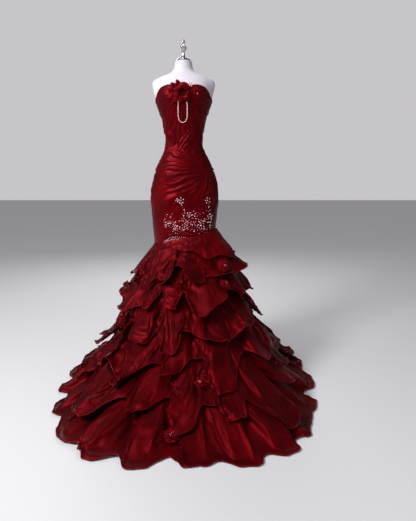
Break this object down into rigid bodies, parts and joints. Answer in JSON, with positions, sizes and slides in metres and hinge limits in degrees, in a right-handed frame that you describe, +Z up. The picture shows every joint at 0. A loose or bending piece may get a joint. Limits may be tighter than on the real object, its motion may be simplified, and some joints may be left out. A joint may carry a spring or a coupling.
{
  "type": "mermaid evening dress on a limbless dress form",
  "caption": "Strapless fitted gown with gathered bodice and hips and a flared skirt of wavy flounces, on a limbless dress form with a pole and base.",
  "frame": {"origin": "centre of the base plate's underside, on the floor", "axes": "+Z up, the dress faces -Y, +X towards the wearer's left"},
  "size_m": [1.5223, 1.9391, 1.9761],
  "materials": {
    "taffeta": "crisp deep red taffeta with a soft sheen, gathered",
    "organza": "deep red organza over taffeta, wavy, with a rolled hem",
    "lining": "plain dark red lining, matt",
    "glass_beads": "clear and pearly cut beads",
    "zip_metal": "dark red lacquered zip slider and pull",
    "jersey": "smooth white jersey stretched over a padded form",
    "form_metal": "polished pale metal plate and turned finial",
    "stand_steel": "satin black painted steel"
  },
  "bodies": {
    "gown": {"bodice_front": "taffeta", "bodice_back_left": "taffeta", "bodice_back_right": "taffeta", "hip_front": "taffeta", "hip_back_left": "taffeta", "hip_back_right": "taffeta", "underskirt_front": "lining", "underskirt_left": "lining", "underskirt_back": "lining", "underskirt_right": "lining", "flounce_1_cut_1": "organza", "flounce_1_cut_2": "organza", "flounce_1_cut_3": "organza", "flounce_2_cut_1": "organza", "flounce_2_cut_2": "organza", "flounce_2_cut_3": "organza", "flounce_3_cut_1": "organza", "flounce_3_cut_2": "organza", "flounce_3_cut_3": "organza", "flounce_4_cut_1": "organza", "flounce_4_cut_2": "organza", "flounce_4_cut_3": "organza", "flounce_5_cut_1": "organza", "flounce_5_cut_2": "organza", "flounce_5_cut_3": "organza", "flounce_6_cut_1": "organza", "flounce_6_cut_2": "organza", "flounce_6_cut_3": "organza", "drape_side": "taffeta", "rose_skirt_1": "taffeta", "rose_skirt_2": "taffeta", "rose_skirt_3": "taffeta", "rose_skirt_4": "taffeta", "rose_skirt_5": "taffeta", "rose_skirt_6": "taffeta", "rose_skirt_7": "taffeta", "rose_skirt_8": "taffeta", "rose_skirt_9": "taffeta", "rose_bust": "taffeta", "bead_strand": "glass_beads", "zip_slider": "zip_metal", "form_torso": "jersey", "form_neck_plate": "form_metal", "form_finial": "form_metal", "form_socket": "stand_steel", "form_pole": "stand_steel", "form_base": "stand_steel"},
    "zip_tab": {"zip_pull": "zip_metal"}
  },
  "joints": [
    {"name": "zip_tab_swing", "type": "hinge", "parent": "gown", "child": "zip_tab", "pos_m": [0, 0.10268, 1.6195], "axis": [1, 0, 0], "range_deg": [0, 140]}
  ]
}
